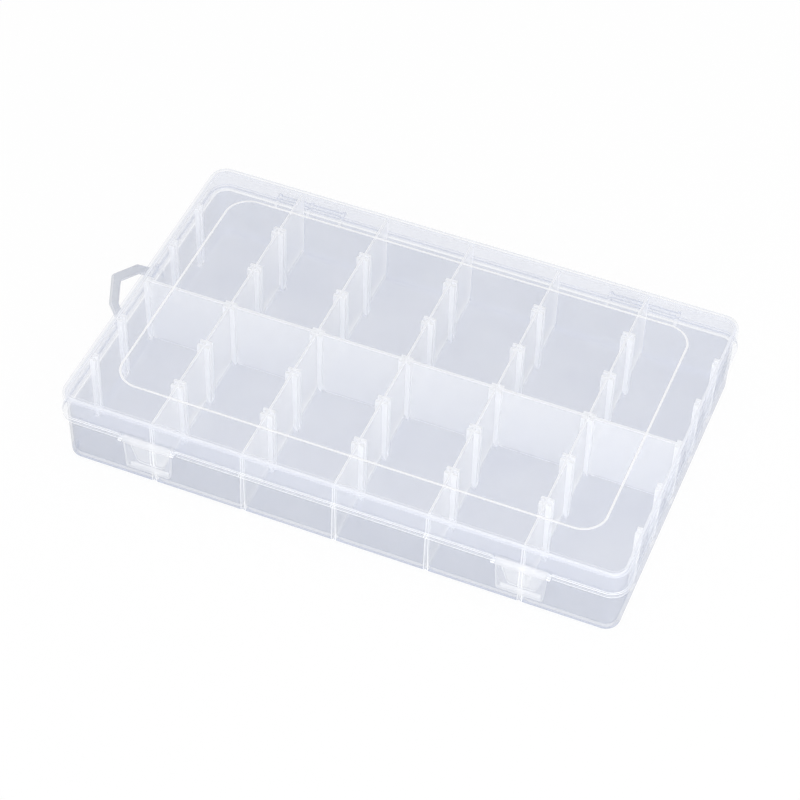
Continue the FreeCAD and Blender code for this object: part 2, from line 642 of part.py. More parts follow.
def make_loop():
    """The peaked hanging loop, drawn flat with its axis on Y and then tilted as photographed."""
    body = new_body("hang_loop")
    roof = "((loop_apex - loop_shoulder) / loop_half_width)"
    flare = "(loop_flare / loop_shoulder)"
    roof_inside = f"(loop_apex - loop_strap * sqrt(1 + {roof} ^ 2))"
    root_inside = f"(loop_root - loop_strap * sqrt(1 + {flare} ^ 2))"
    share = f"(1 - {roof} * {flare})"
    inner_s = f"(({roof_inside} - {roof} * {root_inside}) / {share})"
    inner_t = f"(({root_inside} - {flare} * {roof_inside}) / {share})"

    plan = new_sketch(body, "StrapPlan", "XY_Plane")
    ring(plan, [
        ("0", "-loop_root"),
        ("loop_shoulder", "-loop_half_width"),
        ("loop_apex", "0"),
        ("loop_shoulder", "loop_half_width"),
        ("0", "loop_root"),
        ("0", root_inside),
        (inner_s, inner_t),
        (roof_inside, "0"),
        (inner_s, f"-{inner_t}"),
        ("0", f"-{root_inside}"),
    ])
    pad(body, "Strap", plan, "loop_thickness", middle=True)
    outer, inner = number("loop_shoulder"), number(inner_s)
    peak = number(roof_inside)

    def outside(e):
        """The upright edges at the loop's shoulders and peak."""
        x = e.BoundBox.Center.x
        return upright(e) and (abs(x - outer) < NEAR or x > peak + NEAR)

    def within(e):
        """The upright edges at the inner shoulders and peak."""
        x = e.BoundBox.Center.x
        return upright(e) and (abs(x - inner) < NEAR or abs(x - peak) < NEAR)

    dress("Fillet", body, "OuterCorners", "loop_round", outside)
    dress("Fillet", body, "InnerCorners", "loop_inner_round", within)
    half = number("loop_thickness / 2")
    root = number("loop_barrel_radius")

    def rim(e):
        """The outline's edges on the strap's two faces, past its root."""
        flat = e.BoundBox.ZLength < NEAR and abs(abs(e.BoundBox.ZMin) - half) < NEAR
        return flat and e.BoundBox.XMax > root

    dress("Chamfer", body, "Bevel", "loop_bevel", rim)

    for name, radius, start, end in (
        ("RootBarrel", "loop_barrel_radius", root_inside, "loop_root"),
        ("RootPin", "loop_pin_radius", root_inside, "loop_lug_start + loop_lug_thickness"),
    ):
        side = new_sketch(body, name + "Side", "XZ_Plane", f"-({start})")
        circle(side, "0", "0", radius)
        barrel = pad(body, name, side, f"{end} - {start}", back=True)
        mirror = body.newObject("PartDesign::Mirrored", name + "Pair")
        mirror.Originals = [barrel]
        mirror.MirrorPlane = (origin_feature(body, "XZ_Plane"), [""])
        body.Tip = mirror
        doc.recompute()

    turn = FreeCAD.Rotation(FreeCAD.Vector(0, 1, 0), 180 + number("loop_tilt"))
    body.Placement = FreeCAD.Placement(FreeCAD.Vector(0, 0, 0), turn)
    body.setExpression("Placement.Base.x", tied("-loop_x"))
    body.setExpression("Placement.Base.z", tied("loop_height"))
    body.setExpression("Placement.Rotation.Angle", tied("180 + loop_tilt"))
    doc.recompute()
    return body


def check(bodies):
    """Stops where a feature failed or a piece isn't one valid solid."""
    for item in doc.Objects:
        if {"Invalid", "Error"} & set(item.State):
            raise RuntimeError(f"{item.Label} failed: {item.State}")
    for body in bodies:
        shape = body.Shape
        if shape.isNull() or not shape.isValid() or len(shape.Solids) != 1:
            raise RuntimeError(f"{body.Label} isn't one valid solid")


ALIASES = {alias for alias, _, _ in SIZES}
doc = FreeCAD.newDocument("CompartmentBox")
sheet = make_sheet()
bodies = [make_tray(), make_lid()]
bodies += [make_divider(index) for index in range(round(number("columns")))]
bodies += [make_latch("latch_left", "-latch_offset"), make_latch("latch_right", "latch_offset")]
bodies.append(make_loop())
check(bodies)
os.makedirs("parts", exist_ok=True)
for body in bodies:
    body.Shape.exportStep(f"parts/{body.Label}.step")
    print(f"{body.Label}: {body.Shape.Volume:.0f} mm3")
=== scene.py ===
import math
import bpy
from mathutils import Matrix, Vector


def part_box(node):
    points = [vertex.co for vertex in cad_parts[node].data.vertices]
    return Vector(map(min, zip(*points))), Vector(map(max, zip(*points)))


bl_info = {
    "name": "Milky compartment box",
    "version": (1, 0, 0),
    "blender": (4, 5, 0),
    "location": "View3D > Sidebar > Compartment Box",
    "description": "Finishes a translucent compartment box and sets it on a pale studio floor",
    "category": "Object",
}

import bmesh
import bpy
from bpy.props import FloatProperty, FloatVectorProperty, IntProperty, PointerProperty
from bpy.types import Operator, Panel, PropertyGroup
from mathutils import Matrix

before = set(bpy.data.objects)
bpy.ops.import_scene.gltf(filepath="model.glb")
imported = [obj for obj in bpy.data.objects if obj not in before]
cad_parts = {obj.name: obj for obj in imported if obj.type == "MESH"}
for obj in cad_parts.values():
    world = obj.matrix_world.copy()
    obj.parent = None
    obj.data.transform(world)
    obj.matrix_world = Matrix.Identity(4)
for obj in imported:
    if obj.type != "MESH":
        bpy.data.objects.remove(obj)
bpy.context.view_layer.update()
MM = 0.001
DIVIDERS = sorted(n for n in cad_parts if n.startswith("divider_"))
LATCHES = ("latch_left", "latch_right")

# How softly a mask fades, and how far below a flat face it starts so as to take the face in.
SOFT = 0.1 * MM
HAIR = 0.05 * MM
# Five partitions and five slot rows lie within this many pitches of the middle.
INNER_PITCHES = 2.5
# Largest share of a face's normal that points up on a steep face, or points forward on the side
# of a latch or catch, or points out of the loop's flat on the loop's edge.
STEEP = 0.5
SIDE = 0.7
LOOP_SIDE = 0.85
# Flow clouds in the plastic's haze, and fine scuffs on its surface.
CLOUD_SCALE, CLOUD_DETAIL, CLOUD_SWING = 28.0, 3.0, 0.4
SCUFF_SCALE, SCUFF_DETAIL, SCUFF_SWING = 900.0, 2.0, 0.06
SCUFF_STRENGTH, SCUFF_DEPTH = 0.01, 0.2 * MM
PLASTIC_IOR = 1.49


def length(name, description, default):
    """A size in metres that a user may change, given here in millimetres."""
    return FloatProperty(name=name, description=description, default=default * MM,
                         unit="LENGTH", precision=5, min=0.0)


def share(name, description, default, high=1.0):
    """A plain factor that a user may change."""
    return FloatProperty(name=name, description=description, default=default, min=0.0,
                         max=high, subtype="FACTOR")


def tint(name, description, default):
    """A colour that a user may change."""
    return FloatVectorProperty(name=name, description=description, default=default, size=3,
                               subtype="COLOR", min=0.0, max=1.0)


def angle(name, description, default):
    """An angle that a user may change, given here in degrees."""
    return FloatProperty(name=name, description=description, default=math.radians(default),
                         subtype="ANGLE")


def spot(name, description, default):
    """A place in the room that a user may change, in metres."""
    return FloatVectorProperty(name=name, description=description, default=default, size=3,
                               subtype="TRANSLATION", unit="LENGTH")


def power(name, description, default):
    """A lamp's power that a user may change, in watts."""
    return FloatProperty(name=name, description=description, default=default, min=0.0,
                         unit="POWER")


class BoxSizes(PropertyGroup):
    """Where the moulding's edges and rows lie, for the finishes that follow them."""
    column_pitch: length("Column pitch", "Distance between neighbouring partitions", 44.883)
    partition: length("Partition", "Thickness of a partition at its top", 0.9)
    partition_foot: length("Partition foot", "Thickness of a partition at the floor", 2.074)
    slope: share("Slope", "How much a partition's face leans in for each unit of height", 0.01484)
    rib_reach: length("Rib reach", "How far a slot rib stands out of a partition", 2.6)
    slot_pitch: length("Slot pitch", "Distance between neighbouring slot rows", 28.15)
    rib_pair: length("Rib pair", "Length of a pair of ribs with the slot between them", 4.5)
    tray_top: length("Tray top", "Height of the walls and partitions", 39.55)
    rib_top: length("Rib top", "Height of the slot ribs", 39.05)
    ledge_top: length("Ledge top", "Height of the ledge that the lid closes on", 28.0)
    ledge: length("Ledge", "Thickness of the ledge", 1.2)
    ledge_reach: length("Ledge reach", "How far the ledge stands out of the wall", 2.4)
    fitting_reach: length("Fitting reach", "Lip's outline in to the fittings' roots", 1.75)
    foot_round: length("Foot round", "Height of the round along the outer bottom edge", 3.0)
    floor: length("Floor", "Thickness of the tray's floor", 1.3)
    floor_round: length("Floor round", "Radius where the floor meets the walls", 4.0)
    room_length: length("Room length", "Middle of the box to the inside of its ends", 134.2)
    room_depth: length("Room depth", "Middle of the box to the inside of its front", 84.45)
    half_length: length("Half length", "Middle of the box to the lip at its ends", 137.5)
    half_depth: length("Half depth", "Middle of the box to the lip at its front", 87.75)
    corner: length("Corner", "Plan radius of the lip's corners", 9.0)
    lid_top: length("Lid top", "Height of the lid's flat top", 41.3)
    lid_edge: length("Lid edge", "Radius of the lid's top edge", 2.0)
    lid_bottom: length("Lid bottom", "Height of the lid's lip above the table", 28.2)
    lip: length("Lip", "Height of the lid's lip", 1.1)
    lip_proud: length("Lip proud", "How far the lip stands out of the skirt", 0.5)
    bead_inset: length("Bead inset", "Lip's outline in to the middle of the bead", 19.5)
    bead_corner: length("Bead corner", "Plan radius of the bead's corners", 12.0)
    loop_root: length("Loop root", "Middle of the box to the outside of the loop's barrels", 141.2)
    loop_tilt: angle("Loop tilt", "Rise of the loop as shown", 36.0)


class PlasticLook(PropertyGroup):
    """The milky plastic's colours and how much each part of it hides; its dark tints hold painted
    shade and its edge colour is a painted highlight.
    """
    lid_tint: tint("Lid tint", "Colour of the lid's clear plastic", (0.76, 0.79, 0.89))
    # The wall, front and floor tints are the plastic's own grey-blue, darkened by painted shade:
    # the box's shadow on the table, seen through the plastic, is painted into them.
    wall_tint: tint("Wall tint", "Colour of the rear and end walls", (0.45, 0.495, 0.625))
    front_tint: tint("Front tint", "Colour of the front wall and the loop", (0.51, 0.538, 0.61))
    brim_tint: tint("Brim tint", "Colour of the walls above the ledge", (0.64, 0.67, 0.77))
    floor_tint: tint("Floor tint", "Colour of the tray's floor", (0.44, 0.49, 0.65))
    frost_tint: tint("Frost tint", "Colour of frosted ribs, partitions, dividers and fittings",
                     (0.985, 0.99, 1.0))
    # Painted highlight: the near white that edges which gather light are painted.
    highlight_tint: tint("Edge tint", "Colour of edges that gather light", (0.98, 0.985, 1.0))
    light_tint: tint("Light tint", "Share of lamplight that a face of milky plastic passes on",
                     (0.96, 0.963, 0.97))
    lid_haze: share("Lid haze", "How much each face of the lid hides", 0.065)
    wall_haze: share("Wall haze", "How much each face of the outer walls hides", 0.29)
    brim_haze: share("Brim haze", "How much a face of the walls hides above the ledge", 0.15)
    shelf_haze: share("Shelf haze", "How much the ledge's flat faces hide", 0.08)
    fitting_haze: share("Fitting haze", "How much each face of a catch or lug hides", 0.2)
    hinge_haze: share("Hinge haze", "How much each face of a rear hinge hides", 0.07)
    foot_haze: share("Foot haze", "How much the outer bottom edge hides", 0.3)
    front_foot_haze: share("Front foot haze", "How much that edge hides at the front", 0.48)
    floor_haze: share("Floor haze", "How much each face of the floor hides", 0.27)
    partition_haze: share("Partition haze", "How much each face of a partition hides", 0.48)
    rib_haze: share("Rib haze", "How much each face of a slot rib hides", 0.75)
    divider_haze: share("Divider haze", "How much each face of a divider hides", 0.4)
    latch_haze: share("Latch haze", "How much each face of a latch hides", 0.09)
    loop_haze: share("Loop haze", "How much each face of the loop hides", 0.46)
    # Painted highlight: how much of what lies behind a bright edge is covered.
    highlight_haze: share("Edge haze", "How much a bright edge hides", 0.92)
    gloss: share("Gloss roughness", "Roughness of the moulded faces", 0.3)


class HighlightLook(PropertyGroup):
    """Where the painted highlights on edges that gather light lie, and how strongly each shows."""
    rim_line: length("Rim line", "Height of a partition's bright top edge", 0.6)
    post_shine: share("Post shine", "Strength of the ribs' tops", 0.35)
    ledge_shine: share("Ledge shine", "Strength of the ledge's outer face", 0.35)
    under_shine: share("Under shine", "Strength of the line under the ledge", 0.9)
    under_line: length("Under line", "Half width of the line under the ledge", 0.3)
    end_shine: share("End shine", "Strength of the lines at the partitions' ends", 0.8)
    end_line: length("End line", "Half width of the lines at the partitions' ends", 0.15)
    catch_shine: share("Catch shine", "Strength of the catches' sides", 0.7)
    bend_shine: share("Bend shine", "Strength of the lid's rounded top edge", 0.2)
    brow_shine: share("Brow shine", "Strength of the line outside that edge", 0.35)
    brow_inset: length("Brow inset", "Skirt in to the line outside the edge", 0.35)
    brow_line: length("Brow line", "Half width of the line outside the edge", 0.3)
    crown_shine: share("Crown shine", "Strength of the line inside that edge", 0.6)
    crown_inset: length("Crown inset", "Rounded edge in to the line inside it", 0.4)
    crown_line: length("Crown line", "Half width of the line inside the edge", 0.15)
    bead_line: length("Bead line", "Half width of the line along the bead", 0.5)
    lip_shine: share("Lip shine", "Strength of the line along the lid's lip", 0.9)
    rear_lip_shine: share("Rear lip shine", "Strength of that line at the rear", 0.4)
    lip_line: length("Lip line", "Half width of the line along the lip", 0.4)
    divider_line: length("Divider line", "Height of a divider's bright top edge", 0.45)
    divider_foot_line: length("Divider foot line", "Height of its bright bottom edge", 0.4)
    divider_foot_shine: share("Divider foot shine", "Strength of that bottom edge", 0.6)
    latch_shine: share("Latch shine", "Strength of a latch plate's edges", 0.35)
    barrel_shine: share("Barrel shine", "Strength of a latch's barrel", 0.2)
    loop_shine: share("Loop shine", "Strength of the loop's edges", 0.4)


class StudioLook(PropertyGroup):
    """The camera, the floor and the light."""
    lens: FloatProperty(name="Lens", description="Focal length of the camera, in millimetres",
                        default=114.97, min=10.0, unit="CAMERA")
    eye: spot("Eye", "Where the camera stands", (0.29051, -0.77819, 0.88513))
    azimuth: angle("Azimuth", "Turn of the camera round the box", 20.622)
    elevation: angle("Elevation", "Height of the camera above the table", 46.441)
    roll: angle("Roll", "Turn of the camera about its own axis", 2.163)
    floor_tint: tint("Floor tint", "Colour of the floor", (1.0, 1.0, 1.0))
    floor_glow: share("Floor glow", "How much of the floor shows as plain white", 0.92)
    floor_half: length("Floor half", "Middle of the floor to its edges", 4000.0)
    floor_drop: length("Floor drop", "Gap between the box and the floor", 0.1)
    sky: share("Sky", "Strength of the even light from all round", 0.75, 4.0)
    overhead: power("Overhead", "Power of the softbox overhead", 1.5)
    overhead_place: spot("Overhead place", "Where that softbox hangs", (-0.2, 0.3, 1.6))
    front: power("Front", "Power of the softbox in front", 15.5)
    front_place: spot("Front place", "Where that softbox stands", (0.9, -1.3, 0.7))
    softbox_length: length("Softbox length", "Longer side of a softbox", 1600.0)
    softbox_width: length("Softbox width", "Shorter side of a softbox", 1200.0)
    layers: IntProperty(name="Layers", description="Most faces that light passes through",
                        default=64, min=8)


class Wiring:
    """Adds nodes to one tree and joins them."""

    def __init__(self, tree):
        self.tree = tree

    def add(self, kind, **settings):
        """A new node with its settings."""
        node = self.tree.nodes.new(kind)
        for key, value in settings.items():
            setattr(node, key, value)
        return node

    def feed(self, socket, value):
        """Links an output to a socket, or sets the socket's own value."""
        if isinstance(value, bpy.types.NodeSocket):
            self.tree.links.new(value, socket)
        else:
            socket.default_value = value

    def math(self, operation, *values, clamp=False):
        """The result of one math node."""
        node = self.add("ShaderNodeMath", operation=operation, use_clamp=clamp)
        for socket, value in zip(node.inputs, values):
            self.feed(socket, value)
        return node.outputs[0]

    def over(self, value, limit):
        """1 where a value is over a limit, and 0 elsewhere."""
        return self.math("GREATER_THAN", value, limit)

    def under(self, value, limit):
        """1 where a value is under a limit, and 0 elsewhere."""
        return self.math("LESS_THAN", value, limit)

    def product(self, *masks):
        """All the masks multiplied."""
        total = masks[0]
        for mask in masks[1:]:
            total = self.math("MULTIPLY", total, mask)
        return total

    def biggest(self, *masks):
        """The largest of the masks."""
        total = masks[0]
        for mask in masks[1:]:
            total = self.math("MAXIMUM", total, mask)
        return total

    def rest(self, mask):
        """What a mask leaves out."""
        return self.math("SUBTRACT", 1.0, mask)

    def steep(self, facing):
        """1 on faces that are nearer to upright than to flat."""
        return self.under(self.math("ABSOLUTE", facing["Z"]), STEEP)

    def mix_values(self, factor, first, second):
        """A number between first and second."""
        node = self.add("ShaderNodeMix")
        self.feed(node.inputs["Factor"], factor)
        self.feed(node.inputs["A"], first)
        self.feed(node.inputs["B"], second)
        return node.outputs["Result"]

    def mix(self, factor, first, second):
        """One colour blended into another."""
        node = self.add("ShaderNodeMix", data_type="RGBA")
        for key, value in (("Factor_Float", factor), ("A_Color", first), ("B_Color", second)):
            self.feed(next(s for s in node.inputs if s.identifier == key), value)
        return next(s for s in node.outputs if s.identifier == "Result_Color")

    def noise(self, position, scale, detail):
        """A noise between 0 and 1."""
        node = self.add("ShaderNodeTexNoise")
        self.feed(node.inputs["Vector"], position)
        self.feed(node.inputs["Scale"], scale)
        self.feed(node.inputs["Detail"], detail)
        return node.outputs["Fac"]

    def surface(self, factor, first, second):
        """Blends two shaders and gives the result to the material."""
        blend = self.add("ShaderNodeMixShader")
        self.feed(blend.inputs["Fac"], factor)
        self.feed(blend.inputs[1], first)
        self.feed(blend.inputs[2], second)
        output = self.tree.nodes["Material Output"]
        self.feed(output.inputs["Surface"], blend.outputs["Shader"])

    def group(self, group, **values):
        """A placed group; inputs are named with underscores for spaces."""
        node = self.add("ShaderNodeGroup", node_tree=group)
        for key, value in values.items():
            self.feed(node.inputs[key.replace("_", " ")], value)
        return node.outputs

    def band(self, value, centre, half_width, softness=SOFT):
        """A placed band mask."""
        return self.group(band_group(), Value=value, Centre=centre, Half_Width=half_width,
                          Softness=softness)["Mask"]

    def row(self, value, pitch):
        """A placed distance from a row of lines."""
        return self.group(row_group(), Value=value, Pitch=pitch)["Distance"]

    def outline(self, place, half_length, half_depth, radius):
        """A placed distance from a round-cornered outline."""
        return self.group(outline_group(), X=place["X"], Y=place["Y"], Half_Length=half_length,
                          Half_Depth=half_depth, Radius=radius)["Distance"]


def new_group(name, inputs, outputs):
    """An empty node group with its sockets, and the wiring to fill it."""
    group = bpy.data.node_groups.new(name, "ShaderNodeTree")
    for in_out, sockets in (("INPUT", inputs), ("OUTPUT", outputs)):
        for socket, kind in sockets:
            group.interface.new_socket(socket, in_out=in_out, socket_type="NodeSocket" + kind)
    w = Wiring(group)
    return group, w, w.add("NodeGroupInput").outputs, w.add("NodeGroupOutput").inputs


def band_group():
    """1 where a value lies within a half width of a centre, falling softly to 0."""
    name = "Band"
    if name in bpy.data.node_groups:
        return bpy.data.node_groups[name]
    group, w, given, result = new_group(
        name, [("Value", "Float"), ("Centre", "Float"), ("Half Width", "Float"),
               ("Softness", "Float")], [("Mask", "Float")])
    off = w.math("ABSOLUTE", w.math("SUBTRACT", given["Value"], given["Centre"]))
    ramp = w.add("ShaderNodeMapRange", interpolation_type="SMOOTHSTEP")
    w.feed(ramp.inputs["Value"], off)
    w.feed(ramp.inputs["From Min"], given["Half Width"])
    w.feed(ramp.inputs["From Max"], w.math("ADD", given["Half Width"], given["Softness"]))
    w.feed(ramp.inputs["To Min"], 1.0)
    w.feed(ramp.inputs["To Max"], 0.0)
    w.feed(result["Mask"], ramp.outputs["Result"])
    return group


def row_group():
    """Distance from the nearest of a row of evenly spaced lines."""
    name = "Distance from row"
    if name in bpy.data.node_groups:
        return bpy.data.node_groups[name]
    group, w, given, result = new_group(
        name, [("Value", "Float"), ("Pitch", "Float")], [("Distance", "Float")])
    step = w.math("ROUND", w.math("DIVIDE", given["Value"], given["Pitch"]))
    near = w.math("MULTIPLY", step, given["Pitch"])
    w.feed(result["Distance"], w.math("ABSOLUTE", w.math("SUBTRACT", given["Value"], near)))
    return group


def outline_group():
    """Distance outside a rectangle with round corners, seen from above; negative inside it."""
    name = "Distance from outline"
    if name in bpy.data.node_groups:
        return bpy.data.node_groups[name]
    group, w, given, result = new_group(
        name, [("X", "Float"), ("Y", "Float"), ("Half Length", "Float"),
               ("Half Depth", "Float"), ("Radius", "Float")], [("Distance", "Float")])
    over = []
    for axis, half in (("X", "Half Length"), ("Y", "Half Depth")):
        core = w.math("SUBTRACT", given[half], given["Radius"])
        over.append(w.math("SUBTRACT", w.math("ABSOLUTE", given[axis]), core))
    out = [w.math("MAXIMUM", value, 0.0) for value in over]
    squares = w.math("ADD", w.math("POWER", out[0], 2.0), w.math("POWER", out[1], 2.0))
    inside = w.math("MINIMUM", w.math("MAXIMUM", *over), 0.0)
    reach = w.math("ADD", w.math("SQRT", squares), inside)
    w.feed(result["Distance"], w.math("SUBTRACT", reach, given["Radius"]))
    return group


def milk_group():
    """Milky plastic: faint flow clouds in its haze, and painted highlights on edges that gather
    light.
    """
    name = "Milky plastic"
    if name in bpy.data.node_groups:
        return bpy.data.node_groups[name]
    group, w, given, result = new_group(
        name, [("Position", "Vector"), ("Haze", "Float"), ("Tint", "Color"), ("Edge", "Float"),
               ("Edge Haze", "Float"), ("Edge Tint", "Color"), ("Gloss", "Float")],
        [("Color", "Color"), ("Alpha", "Float"), ("Roughness", "Float"), ("Height", "Float")])
    cloud = w.noise(given["Position"], CLOUD_SCALE, CLOUD_DETAIL)
    scuff = w.noise(given["Position"], SCUFF_SCALE, SCUFF_DETAIL)
    drift = w.math("MULTIPLY_ADD", cloud, CLOUD_SWING, 1.0 - CLOUD_SWING / 2)
    haze = w.math("MULTIPLY", given["Haze"], drift)
    # The edge mask paints a highlight: the face turns more opaque and near white there.
    gain = w.math("MULTIPLY", given["Edge"], w.math("SUBTRACT", given["Edge Haze"], haze))
    w.feed(result["Alpha"], w.math("ADD", haze, gain, clamp=True))
    w.feed(result["Color"], w.mix(given["Edge"], given["Tint"], given["Edge Tint"]))
    w.feed(result["Roughness"], w.math("MULTIPLY_ADD", scuff, SCUFF_SWING, given["Gloss"]))
    w.feed(result["Height"], scuff)
    return group


def solid(colour):
    """A colour with nothing let through."""
    return (*colour, 1.0)


def plastic(name, look, parts):
    """A milky plastic whose haze, tint and painted edge highlights come from the place on the
    piece.
    """
    material = bpy.data.materials.new(name)
    material.use_nodes = True
    w = Wiring(material.node_tree)
    shader = material.node_tree.nodes["Principled BSDF"]
    coordinates = w.add("ShaderNodeTexCoord").outputs
    place = w.add("ShaderNodeSeparateXYZ")
    w.feed(place.inputs["Vector"], coordinates["Object"])
    facing = w.add("ShaderNodeSeparateXYZ")
    w.feed(facing.inputs["Vector"], coordinates["Normal"])
    haze, colour, edge = parts(w, place.outputs, facing.outputs)
    milk = w.group(milk_group(), Position=coordinates["Object"], Haze=haze, Tint=colour,
                   Edge=edge, Edge_Haze=look.highlight_haze, Edge_Tint=solid(look.highlight_tint),
                   Gloss=look.gloss)
    w.feed(shader.inputs["Base Color"], milk["Color"])
    w.feed(shader.inputs["Alpha"], milk["Alpha"])
    w.feed(shader.inputs["Roughness"], milk["Roughness"])
    w.feed(shader.inputs["IOR"], PLASTIC_IOR)
    bump = w.add("ShaderNodeBump")
    w.feed(bump.inputs["Strength"], SCUFF_STRENGTH)
    w.feed(bump.inputs["Distance"], SCUFF_DEPTH)
    w.feed(bump.inputs["Height"], milk["Height"])
    w.feed(shader.inputs["Normal"], bump.outputs["Normal"])
    # Lamplight passes on through the layers, as it does in thin milky plastic.
    light_through = w.add("ShaderNodeBsdfTransparent")
    w.feed(light_through.inputs["Color"], solid(look.light_tint))
    shadow_ray = w.add("ShaderNodeLightPath").outputs["Is Shadow Ray"]
    w.surface(shadow_ray, shader.outputs["BSDF"], light_through.outputs["BSDF"])
    return material


def dress(node, material):
    """Gives a CAD piece one material all over."""
    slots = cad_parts[node].data.materials
    slots.clear()
    slots.append(material)


def settings(context):
    """The box's sizes, its plastic and its bright edges, as the scene has them."""
    scene = context.scene
    return scene.box_sizes, scene.plastic_look, scene.edge_look


class BOX_OT_finish_tray(Operator):
    """Finish the tray: milky walls and pans with painted shade in their tints, frosted partitions
    and ribs, painted highlights on rims and ledge
    """
    bl_idname = "compartment_box.finish_tray"
    bl_label = "Finish tray"

    def execute(self, context):
        sizes, look, shine = settings(context)

        def parts(w, place, facing):
            across = w.row(place["X"], sizes.column_pitch)
            along = w.row(place["Y"], sizes.slot_pitch)
            far_x = w.math("ABSOLUTE", place["X"])
            far_y = w.math("ABSOLUTE", place["Y"])
            outline = w.outline(place, sizes.half_length, sizes.half_depth, sizes.corner)
            steep = w.steep(facing)
            within = w.under(far_x, sizes.column_pitch * INNER_PITCHES)

            # Slot ribs and partitions.
            ribs = w.product(w.band(across, 0.0, sizes.partition / 2 + sizes.rib_reach),
                             w.band(along, 0.0, sizes.rib_pair / 2),
                             w.under(far_x, sizes.room_length - HAIR),
                             w.under(far_y, sizes.slot_pitch * INNER_PITCHES))
            wall = w.product(w.band(across, 0.0, sizes.partition_foot / 2), within,
                             w.under(far_y, sizes.room_depth - HAIR))

            # Outer walls above and below the ledge, and the floor; the wall, front and floor tints
            # are the plastic's grey-blue darkened by painted shade of the box's shadow seen
            # through them.
            low = w.band(place["Z"], 0.0, sizes.floor, sizes.floor_round)
            below = w.under(place["Z"], sizes.ledge_top)
            front = w.band(place["Y"], -sizes.half_depth, sizes.ledge_reach + sizes.foot_round,
                           sizes.corner)
            haze = w.mix_values(below, look.brim_haze, look.wall_haze)
            haze = w.mix_values(low, haze, look.floor_haze)
            haze = w.biggest(haze, w.product(wall, look.partition_haze),
                             w.product(ribs, look.rib_haze))
            walls = w.mix(front, solid(look.wall_tint), solid(look.front_tint))
            colour = w.mix(below, solid(look.brim_tint), walls)
            colour = w.mix(low, colour, solid(look.floor_tint))
            colour = w.mix(w.biggest(wall, ribs), colour, solid(look.frost_tint))

            # The ledge, and what stands out from the walls: catches, lugs and hinge ears.
            shelf = w.product(w.over(outline, -sizes.ledge_reach),
                              w.band(place["Z"], sizes.ledge_top - sizes.ledge / 2,
                                     sizes.ledge / 2 + SOFT))
            clear = w.product(shelf, w.rest(steep))
            fittings = w.product(w.over(outline, -sizes.fitting_reach), w.rest(shelf))
            rear = w.over(place["Y"], sizes.room_depth)
            haze = w.mix_values(clear, haze, look.shelf_haze)
            haze = w.mix_values(fittings, haze,
                                w.mix_values(rear, look.fitting_haze, look.hinge_haze))
            colour = w.mix(w.biggest(clear, fittings), colour, solid(look.frost_tint))

            # The round along the outer bottom edge.
            foot = w.product(w.under(place["Z"], sizes.foot_round),
                             w.over(outline, -sizes.ledge_reach - sizes.foot_round))
            haze = w.mix_values(foot, haze,
                                w.mix_values(front, look.foot_haze, look.front_foot_haze))

            # Painted highlights on edges that gather light.
            brink = w.math("MULTIPLY_ADD", wall, -shine.rim_line, sizes.tray_top - HAIR)
            rims = w.over(place["Z"], brink)
            posts = w.product(w.over(place["Z"], sizes.rib_top - HAIR), ribs, shine.post_shine)
            half_wall = w.math("MULTIPLY_ADD", place["Z"], -sizes.slope, sizes.partition_foot / 2)
            ends = w.product(w.band(across, half_wall, shine.end_line),
                             w.over(far_y, sizes.room_depth), within, shine.end_shine)
            catches = w.product(fittings, w.under(place["Y"], -sizes.room_depth))
            sides = w.product(catches, w.over(facing["Y"], -SIDE), shine.catch_shine)
            bottom = w.band(place["Z"], sizes.ledge_top - sizes.ledge, shine.under_line)
            ledge = w.product(shelf, steep, w.biggest(w.product(bottom, shine.under_shine),
                                                      shine.ledge_shine))
            return haze, colour, w.biggest(rims, posts, ends, sides, ledge)

        dress("base_tray", plastic("Tray plastic", look, parts))
        return {"FINISHED"}


class BOX_OT_finish_lid(Operator):
    """Finish the lid: a clear top with painted highlights along its bead, top edge and lip"""
    bl_idname = "compartment_box.finish_lid"
    bl_label = "Finish lid"

    def execute(self, context):
        sizes, look, shine = settings(context)

        def parts(w, place, facing):
            outline = w.outline(place, sizes.half_length, sizes.half_depth, sizes.corner)
            skirt, edge = -sizes.lip_proud, -sizes.lip_proud - sizes.lid_edge

            # Painted highlights: the rounded top edge, with a line on each side of it.
            brow = w.band(outline, skirt - shine.brow_inset, shine.brow_line)
            crown = w.band(outline, edge - shine.crown_inset, shine.crown_line)
            top_edge = w.product(w.over(place["Z"], sizes.lid_top - sizes.lid_edge),
                                 w.biggest(w.product(w.over(outline, edge), shine.bend_shine),
                                           w.product(brow, shine.brow_shine),
                                           w.product(crown, shine.crown_shine)))

            # Painted highlights along the bead on the top and along the lip at the bottom; the
            # lip's is weaker at the rear.
            ring = w.outline(place, sizes.half_length - sizes.bead_inset,
                             sizes.half_depth - sizes.bead_inset, sizes.bead_corner)
            bead = w.product(w.over(place["Z"], sizes.lid_top + SOFT),
                             w.band(ring, 0.0, shine.bead_line))
            rear = w.over(place["Y"], sizes.half_depth - sizes.corner)
            lip = w.product(w.over(outline, skirt - SOFT), w.steep(facing),
                            w.mix_values(rear, shine.lip_shine, shine.rear_lip_shine),
                            w.band(place["Z"], sizes.lid_bottom + sizes.lip, shine.lip_line))

            clips = w.over(place["Y"], sizes.half_depth + SOFT)
            haze = w.mix_values(clips, look.lid_haze, look.hinge_haze)
            colour = w.mix(clips, solid(look.lid_tint), solid(look.frost_tint))
            return haze, colour, w.biggest(top_edge, bead, lip)

        dress("lid", plastic("Lid plastic", look, parts))
        return {"FINISHED"}


